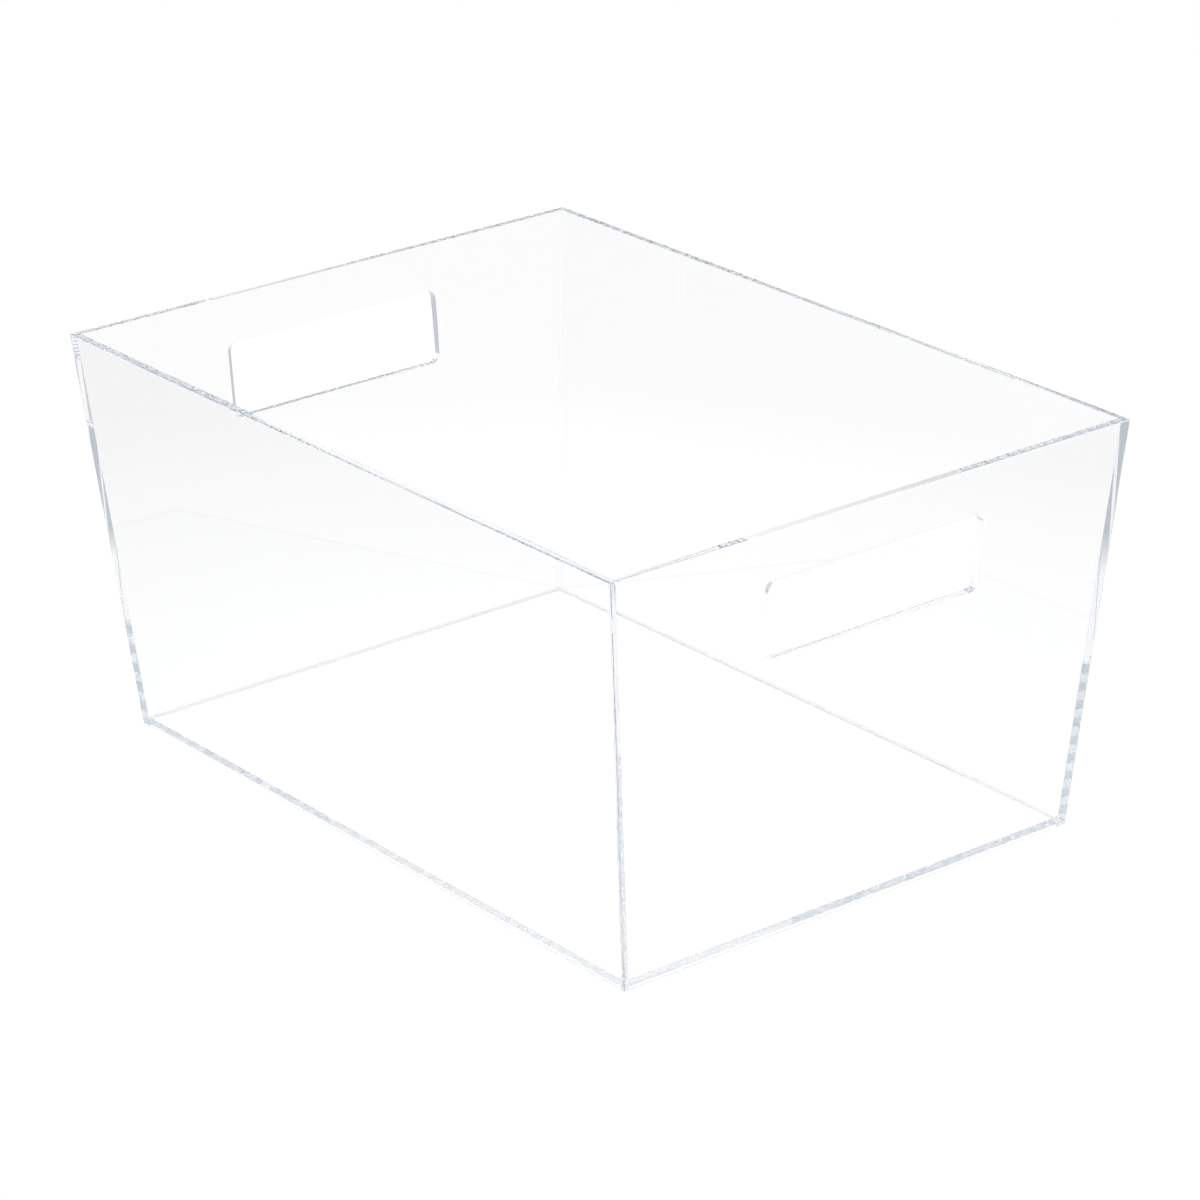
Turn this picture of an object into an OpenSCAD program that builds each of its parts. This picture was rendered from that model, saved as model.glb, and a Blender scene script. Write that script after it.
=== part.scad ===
// Clear acrylic storage bin, open at the top, flared on all four sides.
// Five flat sheets: a base panel, two long walls and two end walls with hand-holes.
// Millimetres, +Z up, length along X. Origin at the centre of the foot, on the surface it stands on.

/* [Outside size] */
// Height from the surface it stands on to the rim
bin_h = 203; // [140:1:300]
// Length across the rim, outside
rim_l = 415; // [320:1:560]
// Width across the rim, outside
rim_w = 300; // [240:1:400]
// Outward lean of the walls from upright, in degrees
wall_lean = 5; // [0:0.5:12]

/* [Sheet] */
// Thickness of the wall sheets
wall_t = 4; // [3:0.5:8]
// Thickness of the base panel
base_t = 4; // [3:0.5:8]
// Height of the base panel's underside above the foot of the walls
base_lift = 1; // [0:0.1:6]
// Thickness of the cement film between two joined faces
cement_t = 0.02; // [0:0.01:0.2]

/* [Hand-holes] */
// Width of a hand-hole
hole_w = 125; // [90:1:150]
// Height of a hand-hole, measured up the wall
hole_h = 38; // [25:1:55]
// Distance from the rim down to a hand-hole, measured down the wall
hole_drop = 24; // [15:1:45]
// Corner radius of a hand-hole
hole_r = 5; // [1:0.5:12]

/* [Hidden] */
$fn = 64;

// How far a wall leans out over the bin's height, and the foot that this leaves
lean_run = bin_h * tan(wall_lean);
foot_l = rim_l - 2 * lean_run;
foot_w = rim_w - 2 * lean_run;
// A leaning sheet measured level, across its thickness
wall_across = wall_t / cos(wall_lean);
cement_across = cement_t / cos(wall_lean);
// Length of a wall measured up its slope
slope_h = bin_h / cos(wall_lean);
// Extra length on stock that is trimmed to shape afterwards
trim = 30;
acrylic = [0.86, 0.92, 0.95, 0.35];

// Half of an outside measure at height z, moved in by inset
function half_at(foot, z, inset) = foot / 2 + z * tan(wall_lean) - inset;

// Level-topped flat shape with leaning ends, standing in the XZ plane
module flared_outline(foot, inset, z0, z1) {
    polygon([
        [-half_at(foot, z0, inset), z0],
        [half_at(foot, z0, inset), z0],
        [half_at(foot, z1, inset), z1],
        [-half_at(foot, z1, inset), z1]
    ]);
}

// Room between two opposite walls' planes, running on past the bin along the other axis
module between_end_planes(inset, z0, z1) {
    rotate([90, 0, 0])
        linear_extrude(rim_w + 2 * trim, center = true)
            flared_outline(foot_l, inset, z0, z1);
}

module between_side_planes(inset, z0, z1) {
    rotate([90, 0, 90])
        linear_extrude(rim_l + 2 * trim, center = true)
            flared_outline(foot_w, inset, z0, z1);
}

// Flat sheet of the walls' stock, laid at its lean against the +X side.
// Its own x runs along the wall and its own y runs up the slope from the foot.
module at_right_end() {
    translate([foot_l / 2, 0, 0])
        rotate([0, wall_lean, 0])
            rotate([90, 0, 90])
                children();
}

module at_back_side() {
    translate([0, foot_w / 2, 0])
        rotate([-wall_lean, 0, 0])
            rotate([90, 0, 180])
                children();
}

module wall_stock(length) {
    translate([-length / 2 - trim, -trim, -wall_t])
        cube([length + 2 * trim, slope_h + 2 * trim, wall_t]);
}

// Rounded slot through an end sheet, drawn on the flat sheet
module hand_hole() {
    translate([0, slope_h - hole_drop - hole_h / 2, -wall_t - trim / 2])
        linear_extrude(wall_t + trim)
            hand_hole_outline();
}

module hand_hole_outline() {
    square([hole_w - 2 * hole_r, hole_h], center = true);
    square([hole_w, hole_h - 2 * hole_r], center = true);
    for (x = [-1, 1], y = [-1, 1])
        translate([x * (hole_w / 2 - hole_r), y * (hole_h / 2 - hole_r)])
            circle(hole_r);
}

// Base panel, inside the four walls, with its edges cut to their lean
module base_panel() {
    z0 = base_lift;
    z1 = base_lift + base_t;
    inset = wall_across + cement_across;
    color(acrylic)
        intersection() {
            between_end_planes(inset, z0, z1);
            between_side_planes(inset, z0, z1);
        }
}

// Long wall on the +Y side, running the whole length and covering the end walls' edges
module back_wall() {
    color(acrylic)
        intersection() {
            at_back_side()
                wall_stock(rim_l);
            between_end_planes(0, 0, bin_h);
        }
}

module front_wall() {
    mirror([0, 1, 0])
        back_wall();
}

// End wall on the +X side, between the long walls, with its hand-hole
module right_end_wall() {
    inset = wall_across + cement_across;
    color(acrylic)
        difference() {
            intersection() {
                at_right_end()
                    wall_stock(rim_w);
                between_side_planes(inset, 0, bin_h);
            }
            at_right_end()
                hand_hole();
        }
}

module left_end_wall() {
    mirror([1, 0, 0])
        right_end_wall();
}

base_panel();
front_wall();
back_wall();
left_end_wall();
right_end_wall();
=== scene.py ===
import math
import bmesh
import bpy
from mathutils import Matrix, Quaternion, Vector


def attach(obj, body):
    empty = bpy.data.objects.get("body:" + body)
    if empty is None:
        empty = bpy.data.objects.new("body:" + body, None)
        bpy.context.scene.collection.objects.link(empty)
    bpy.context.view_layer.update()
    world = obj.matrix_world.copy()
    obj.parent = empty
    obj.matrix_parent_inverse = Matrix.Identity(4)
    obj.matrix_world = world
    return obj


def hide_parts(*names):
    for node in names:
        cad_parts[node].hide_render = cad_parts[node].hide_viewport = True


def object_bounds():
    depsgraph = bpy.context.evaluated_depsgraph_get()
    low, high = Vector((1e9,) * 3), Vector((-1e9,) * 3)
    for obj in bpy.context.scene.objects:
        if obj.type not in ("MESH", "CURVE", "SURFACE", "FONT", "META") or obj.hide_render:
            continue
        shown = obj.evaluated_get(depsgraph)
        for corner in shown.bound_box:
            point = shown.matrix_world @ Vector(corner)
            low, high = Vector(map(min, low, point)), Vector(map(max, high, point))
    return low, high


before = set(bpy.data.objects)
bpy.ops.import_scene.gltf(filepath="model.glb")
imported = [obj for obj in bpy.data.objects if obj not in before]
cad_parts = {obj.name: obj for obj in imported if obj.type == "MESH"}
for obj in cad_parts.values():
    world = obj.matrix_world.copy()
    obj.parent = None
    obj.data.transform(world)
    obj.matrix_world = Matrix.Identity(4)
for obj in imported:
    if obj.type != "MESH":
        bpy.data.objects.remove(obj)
cadLow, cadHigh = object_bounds()
scene = bpy.context.scene
print("frame loaded, nodes:", sorted(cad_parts))

# The bin's outside comes from the frame. These are the sizes that a maker sets.
sheet = {
    "thickness": 0.004,
    "lean": math.radians(5),
    "baseLift": 0.001,
    "arris": 0.0009,  # rounding of the polished outer arrises
    "arrisSegments": 4,
    "overlap": 0.00005,  # how far a cemented face reaches into its neighbour
    "jointShow": 0.2,  # how much of the base's cemented joint still shows, 0 to 1
    "spare": 0.03,  # how far the stock reaches past a wall before it is sawn
}
hole = {
    "width": 0.125,
    "height": 0.038,
    "drop": 0.024,
    "radius": 0.005,
    "cornerSegments": 10,
    "cutDepth": 0.04,
}
rimLength = cadHigh.x - cadLow.x
rimWidth = cadHigh.y - cadLow.y
height = cadHigh.z
leanRun = height * math.tan(sheet["lean"])
across = sheet["thickness"] / math.cos(sheet["lean"])
slopeHeight = height / math.cos(sheet["lean"])
footLength = rimLength - 2 * leanRun
footWidth = rimWidth - 2 * leanRun
baseTop = sheet["baseLift"] + sheet["thickness"]
exposedName = "exposed"
sawTolerance = 1e-7
faceTolerance = 2e-6


# Outward normal of a wall that faces along the given level direction
def wallNormal(side):
    return (side * math.cos(sheet["lean"]) - Vector((0, 0, math.sin(sheet["lean"])))).normalized()


# Plane of a wall's outer face, moved inwards by inset measured level: a point and a normal
def wallPlane(side, inset):
    half = (footLength if side.x else footWidth) / 2
    return side * (half - inset), wallNormal(side)


def signedDistance(point, plane):
    return (point - plane[0]).dot(plane[1])


def levelPlane(z, direction=1):
    return Vector((0, 0, z)), Vector((0, 0, direction))


left, right, front, back = Vector((-1, 0, 0)), Vector((1, 0, 0)), Vector((0, -1, 0)), Vector((0, 1, 0))
footPlane = levelPlane(0, -1)
rimPlane = levelPlane(height)


# Saws a closed body along a plane, keeps the side behind the plane, and closes the cut
def saw(bm, plane):
    everything = bm.verts[:] + bm.edges[:] + bm.faces[:]
    cut = bmesh.ops.bisect_plane(bm, geom=everything, dist=sawTolerance, plane_co=plane[0], plane_no=plane[1],
                                 clear_outer=True)
    rim = [e for e in cut["geom_cut"] if isinstance(e, bmesh.types.BMEdge)]
    bmesh.ops.contextual_create(bm, geom=rim)


# Scores a line round the body along a plane, so that its faces can be told apart on either side
def score(bm, plane):
    everything = bm.verts[:] + bm.edges[:] + bm.faces[:]
    bmesh.ops.bisect_plane(bm, geom=everything, dist=sawTolerance, plane_co=plane[0], plane_no=plane[1])


# The two lines that the base panel's faces would draw on a wall
def scoreBase(bm):
    score(bm, levelPlane(sheet["baseLift"]))
    score(bm, levelPlane(baseTop))


def wallUp(side):
    return (Vector((0, 0, math.cos(sheet["lean"]))) + side * math.sin(sheet["lean"])).normalized()


# Stands something drawn upright, with its width along x, at a wall's lean around the given middle
def standAtLean(bm, side, middle):
    normal, up = wallNormal(side), wallUp(side)
    turn = Matrix((normal.cross(up), normal, up)).transposed().to_4x4()
    bmesh.ops.transform(bm, matrix=Matrix.Translation(middle) @ turn, verts=bm.verts)


# Block of sheet standing at its lean along one side of the bin, larger than the wall all round
def wallStock(side):
    length = (rimWidth if side.x else rimLength) + 2 * sheet["spare"]
    middle = wallPlane(side, 0)[0] + wallUp(side) * slopeHeight / 2 - wallNormal(side) * sheet["thickness"] / 2
    bm = bmesh.new()
    bmesh.ops.create_cube(bm, size=1)
    bmesh.ops.scale(bm, vec=(length, sheet["thickness"], slopeHeight + 2 * sheet["spare"]), verts=bm.verts)
    standAtLean(bm, side, middle)
    return bm


# Rounded bar that cuts a hand-hole through an end wall
def holeCutter(side):
    bm = bmesh.new()
    bmesh.ops.create_cube(bm, size=1)
    bmesh.ops.scale(bm, vec=(hole["width"], hole["cutDepth"], hole["height"]), verts=bm.verts)
    corners = [e for e in bm.edges if abs(e.verts[0].co.y - e.verts[1].co.y) > sheet["thickness"]]
    bmesh.ops.bevel(bm, geom=corners, offset=hole["radius"], segments=hole["cornerSegments"],
                    profile=0.5, affect="EDGES", material=-1)
    middle = wallPlane(side, 0)[0] + wallUp(side) * (slopeHeight - hole["drop"] - hole["height"] / 2)
    standAtLean(bm, side, middle)
    return bm


def toObject(bm, name):
    mesh = bpy.data.meshes.new(name)
    bm.to_mesh(mesh)
    bm.free()
    thing = bpy.data.objects.new(name, mesh)
    scene.collection.objects.link(thing)
    return thing


def cutHole(bm, cutter):
    body = toObject(bm, "sheetBody")
    tool = toObject(cutter, "holeTool")
    cut = body.modifiers.new("hole", "BOOLEAN")
    cut.operation = "DIFFERENCE"
    cut.solver = "EXACT"
    cut.object = tool
    cutMesh = bpy.data.meshes.new_from_object(body.evaluated_get(bpy.context.evaluated_depsgraph_get()))
    result = bmesh.new()
    result.from_mesh(cutMesh)
    for thing in (body, tool):
        bpy.data.objects.remove(thing)
    bpy.data.meshes.remove(cutMesh)
    bmesh.ops.remove_doubles(result, verts=result.verts, dist=faceTolerance / 2)
    return result


# Rounds the outer arrises, and stores on each face how far light meets it as a surface: 0 where it is cemented
def finishPanel(bm, name, arrises, exposure):
    bm.normal_update()
    edges = [e for e in bm.edges if arrises(e)]
    bmesh.ops.bevel(bm, geom=edges, offset=sheet["arris"], segments=sheet["arrisSegments"],
                    profile=0.5, affect="EDGES", material=-1, clamp_overlap=True)
    bmesh.ops.recalc_face_normals(bm, faces=bm.faces)
    layer = bm.faces.layers.float.new(exposedName)
    for face in bm.faces:
        face[layer] = exposure(face.calc_center_median())
    piece = toObject(bm, name)
    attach(piece, "root")
    return piece


def liesOn(point, plane):
    return abs(signedDistance(point, plane)) < faceTolerance


def runsOn(edge, plane):
    return all(liesOn(v.co, plane) for v in edge.verts)


def besideBase(centre):
    return sheet["baseLift"] + faceTolerance < centre.z < baseTop - faceTolerance


# Wall that runs the bin's whole length and covers the ends of the two end walls
def longWall(side, name):
    bm = wallStock(side)
    outer, inner = wallPlane(side, 0), wallPlane(side, across)
    ends = [wallPlane(left, 0), wallPlane(right, 0)]
    seams = [wallPlane(left, across), wallPlane(right, across)]
    for plane in (footPlane, rimPlane, *ends):
        saw(bm, plane)
    for seam in seams:
        score(bm, seam)
    scoreBase(bm)

    def arrises(edge):
        atLevelEdge = runsOn(edge, rimPlane) or runsOn(edge, footPlane)
        atEnd = any(runsOn(edge, end) for end in ends)
        if runsOn(edge, outer):
            return atLevelEdge or atEnd
        return atLevelEdge and atEnd

    def exposure(centre):
        if not liesOn(centre, inner):
            return 1
        if any(signedDistance(centre, seam) > 0 for seam in seams):
            return 0
        return sheet["jointShow"] if besideBase(centre) else 1

    return finishPanel(bm, name, arrises, exposure)


# Wall with a hand-hole, cemented between the two long walls
def endWall(side, name):
    bm = wallStock(side)
    reach = across - sheet["overlap"]
    outer, inner = wallPlane(side, 0), wallPlane(side, across)
    seams = [wallPlane(front, reach), wallPlane(back, reach)]
    for plane in (footPlane, rimPlane, *seams):
        saw(bm, plane)
    scoreBase(bm)
    bm = cutHole(bm, holeCutter(side))

    def arrises(edge):
        return runsOn(edge, outer) and (runsOn(edge, rimPlane) or runsOn(edge, footPlane))

    def exposure(centre):
        if any(liesOn(centre, seam) for seam in seams):
            return 0
        return sheet["jointShow"] if liesOn(centre, inner) and besideBase(centre) else 1

    return finishPanel(bm, name, arrises, exposure)


# Base cemented inside the four walls, its edges sawn to their lean
def basePanel(name):
    reach = across - sheet["overlap"]
    bm = bmesh.new()
    bmesh.ops.create_cube(bm, size=1)
    bmesh.ops.scale(bm, vec=(rimLength, rimWidth, sheet["thickness"]), verts=bm.verts)
    bmesh.ops.translate(bm, vec=(0, 0, (sheet["baseLift"] + baseTop) / 2), verts=bm.verts)
    for side in (left, right, front, back):
        saw(bm, wallPlane(side, reach))

    def exposure(centre):
        return sheet["jointShow"] if besideBase(centre) else 1

    return finishPanel(bm, name, lambda edge: False, exposure)


pieces = {
    "front_wall": longWall(front, "frontWall"),
    "back_wall": longWall(back, "backWall"),
    "left_end_wall": endWall(left, "leftEndWall"),
    "right_end_wall": endWall(right, "rightEndWall"),
    "base_panel": basePanel("basePanel"),
}
for node, piece in pieces.items():
    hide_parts(node)
print("panels sawn:", {name: len(piece.data.polygons) for name, piece in pieces.items()})

# Clear cast acrylic. Density and colour give the blue-grey that light picks up along a sheet.
acrylicLook = {
    "ior": 1.49,
    "absorptionColor": (0.05, 0.2, 0.4, 1),
    "absorptionDensity": 0.2,
    "shadow": (0.93, 0.95, 0.96, 1),
    "waveScale": 9,
    "waveDepth": 0.0001,
    "waveStrength": 0.05,
}


def acrylicMaterial():
    material = bpy.data.materials.new("clearAcrylic")
    material.use_nodes = True
    nodes, links = material.node_tree.nodes, material.node_tree.links
    glass = nodes["Principled BSDF"]
    output = nodes["Material Output"]
    glass.inputs["Base Color"].default_value = (1, 1, 1, 1)
    glass.inputs["Roughness"].default_value = 0
    glass.inputs["IOR"].default_value = acrylicLook["ior"]
    glass.inputs["Transmission Weight"].default_value = 1
    exposed = nodes.new("ShaderNodeAttribute")
    exposed.attribute_name = exposedName
    links.new(exposed.outputs["Fac"], glass.inputs["Alpha"])
    # Cast sheet is never quite flat
    place = nodes.new("ShaderNodeTexCoord")
    waves = nodes.new("ShaderNodeTexNoise")
    waves.inputs["Scale"].default_value = acrylicLook["waveScale"]
    waves.inputs["Detail"].default_value = 1
    bump = nodes.new("ShaderNodeBump")
    bump.inputs["Strength"].default_value = acrylicLook["waveStrength"]
    bump.inputs["Distance"].default_value = acrylicLook["waveDepth"]
    links.new(place.outputs["Object"], waves.inputs["Vector"])
    links.new(waves.outputs["Fac"], bump.inputs["Height"])
    links.new(bump.outputs[0], glass.inputs["Normal"])
    inside = nodes.new("ShaderNodeVolumeAbsorption")
    inside.inputs["Color"].default_value = acrylicLook["absorptionColor"]
    inside.inputs["Density"].default_value = acrylicLook["absorptionDensity"]
    links.new(inside.outputs[0], output.inputs["Volume"])
    through = nodes.new("ShaderNodeBsdfTransparent")
    through.inputs["Color"].default_value = acrylicLook["shadow"]
    lightPath = nodes.new("ShaderNodeLightPath")
    pick = nodes.new("ShaderNodeMixShader")
    links.new(lightPath.outputs["Is Shadow Ray"], pick.inputs[0])
    links.new(glass.outputs[0], pick.inputs[1])
    links.new(through.outputs[0], pick.inputs[2])
    links.new(pick.outputs[0], output.inputs["Surface"])
    return material


clearAcrylic = acrylicMaterial()
for piece in pieces.values():
    piece.data.materials.append(clearAcrylic)
print("acrylic finished")

# White sweep: the floor and the room ahead are white, and the clear sheets' edges also pick up the darker room
# at the sides. On the floor that darker side is painted shade, a grey that only a sheet shows. An edge is a
# pair of values between which one fades into the other.
studio = {
    "floorSize": 12,
    "floorDrop": 0.0003,
    # Grey of what a polished face mirrors: the room's own darker side in the world, painted shade on the
    # floor.
    "mirroredRoomAndFloorPaintedShade": (0.6, 0.6, 0.6, 1),
    "sideRoom": (0.64, 0.7, 0.78, 1),
    # Painted shade: the floor's grey at the sides, shown only through a sheet. The camera sees the floor
    # white.
    "floorPaintedShade": (0.56, 0.58, 0.62, 1),
    "sweepAzimuth": math.radians(51.87),
    "roomEdge": (0.3, 0.5),  # cosines of the angle from straight ahead: side room below, white above
    "floorShadeEdge": (0.32, 0.5),  # metres to either side of the middle: white floor below, floor with painted shade above
}


def addMath(tree, operation, first, second):
    node = tree.nodes.new("ShaderNodeMath")
    node.operation = operation
    node.use_clamp = True
    for socket, value in zip(node.inputs, (first, second)):
        if isinstance(value, (int, float)):
            socket.default_value = value
        else:
            tree.links.new(value, socket)
    return node.outputs[0]


# A Mix node has its two colours in sockets 6 and 7, and its colour result in socket 2
def addMix(tree, factor, plain, other):
    mix = tree.nodes.new("ShaderNodeMix")
    mix.data_type = "RGBA"
    for socket, value in ((mix.inputs["Factor"], factor), (mix.inputs[6], plain), (mix.inputs[7], other)):
        if isinstance(value, tuple):
            socket.default_value = value
        else:
            tree.links.new(value, socket)
    return mix.outputs[2]


def sweepDirection(sideways):
    turn = studio["sweepAzimuth"] - (math.pi / 2 if sideways else 0)
    return -math.sin(turn), math.cos(turn), 0


# How far along a level direction a vector reaches, mapped from a range to 0..1
def alongSweep(tree, vector, sideways, low, high):
    reach = tree.nodes.new("ShaderNodeVectorMath")
    reach.operation = "DOT_PRODUCT"
    reach.inputs[1].default_value = sweepDirection(sideways)
    tree.links.new(vector, reach.inputs[0])
    value = reach.outputs["Value"]
    if sideways:
        size = tree.nodes.new("ShaderNodeMath")
        size.operation = "ABSOLUTE"
        tree.links.new(value, size.inputs[0])
        value = size.outputs[0]
    edge = tree.nodes.new("ShaderNodeMapRange")
    edge.inputs["From Min"].default_value = low
    edge.inputs["From Max"].default_value = high
    tree.links.new(value, edge.inputs["Value"])
    return edge.outputs[0]


# White, but for what a polished face mirrors and what is seen through a sheet towards the sides. A sharp ray
# through glass counts as glossy too. Light that the floor has scattered keeps the white. Used on the floor,
# these greys are painted shade.
def studioColor(tree, sideMask, sideColor):
    lightPath = tree.nodes.new("ShaderNodeLightPath")
    scattered = lightPath.outputs["Diffuse Depth"]
    transmitted = lightPath.outputs["Is Transmission Ray"]
    through = addMath(tree, "SUBTRACT", transmitted, scattered)
    mirrored = addMath(tree, "SUBTRACT", lightPath.outputs["Is Glossy Ray"], transmitted)
    mirrored = addMath(tree, "SUBTRACT", mirrored, scattered)
    seen = addMath(tree, "MULTIPLY", sideMask, through)
    return addMix(tree, mirrored, addMix(tree, seen, (1, 1, 1, 1), sideColor), studio["mirroredRoomAndFloorPaintedShade"])


def makeStudio():
    world = bpy.data.worlds.new("studio")
    scene.world = world
    world.use_nodes = True
    tree = world.node_tree
    background = tree.nodes["Background"]
    direction = tree.nodes.new("ShaderNodeTexCoord").outputs["Generated"]
    ahead = alongSweep(tree, direction, False, *studio["roomEdge"])
    room = studioColor(tree, addMath(tree, "SUBTRACT", 1, ahead), studio["sideRoom"])
    tree.links.new(room, background.inputs["Color"])
    background.inputs["Strength"].default_value = 1
    bm = bmesh.new()
    bmesh.ops.create_grid(bm, x_segments=1, y_segments=1, size=studio["floorSize"] / 2)
    bmesh.ops.translate(bm, vec=(0, 0, -studio["floorDrop"]), verts=bm.verts)
    floor = toObject(bm, "floor")
    material = bpy.data.materials.new("whiteFloorPaintedShade")
    material.use_nodes = True
    tree = material.node_tree
    paint = tree.nodes["Principled BSDF"]
    paint.inputs["Roughness"].default_value = 1
    paint.inputs["Specular IOR Level"].default_value = 0
    # The floor's colour is painted shade where a sheet shows or mirrors it: grey at the sides and in a mirror,
    # white to the camera.
    place = tree.nodes.new("ShaderNodeTexCoord").outputs["Object"]
    shadedAside = alongSweep(tree, place, True, *studio["floorShadeEdge"])
    tree.links.new(studioColor(tree, shadedAside, studio["floorPaintedShade"]), paint.inputs["Base Color"])
    floor.data.materials.append(material)


makeStudio()

# The photograph's view, fitted to the bin's seven visible corners
view = {
    "position": Vector((1.6342, -1.2758, 0.9493)),
    "azimuth": math.radians(51.87),
    "elevation": math.radians(22.52),
    "roll": math.radians(-1),
    "lens": 142.2,
    "sensor": 36,
    "reach": 100,
}


def makeCamera():
    camera = bpy.data.objects.new("camera", bpy.data.cameras.new("camera"))
    scene.collection.objects.link(camera)
    ahead = Vector((-math.sin(view["azimuth"]), math.cos(view["azimuth"]), 0))
    look = ahead * math.cos(view["elevation"]) - Vector((0, 0, math.sin(view["elevation"])))
    turn = look.to_track_quat("-Z", "Y") @ Quaternion((0, 0, 1), view["roll"])
    camera.matrix_world = Matrix.Translation(view["position"]) @ turn.to_matrix().to_4x4()
    camera.data.sensor_width = view["sensor"]
    camera.data.lens = view["lens"]
    camera.data.clip_end = view["reach"]
    scene.camera = camera


makeCamera()
scene.view_settings.view_transform = "Standard"

# Light is turned back hundreds of times inside a clear sheet before it leaves at an edge, and it stays sharp
bounces = {"inSheet": 256, "straightThrough": 64}
scene.cycles.max_bounces = bounces["inSheet"]
scene.cycles.glossy_bounces = bounces["inSheet"]
scene.cycles.transmission_bounces = bounces["inSheet"]
scene.cycles.transparent_max_bounces = bounces["straightThrough"]
scene.cycles.blur_glossy = 0
print("studio and camera placed")
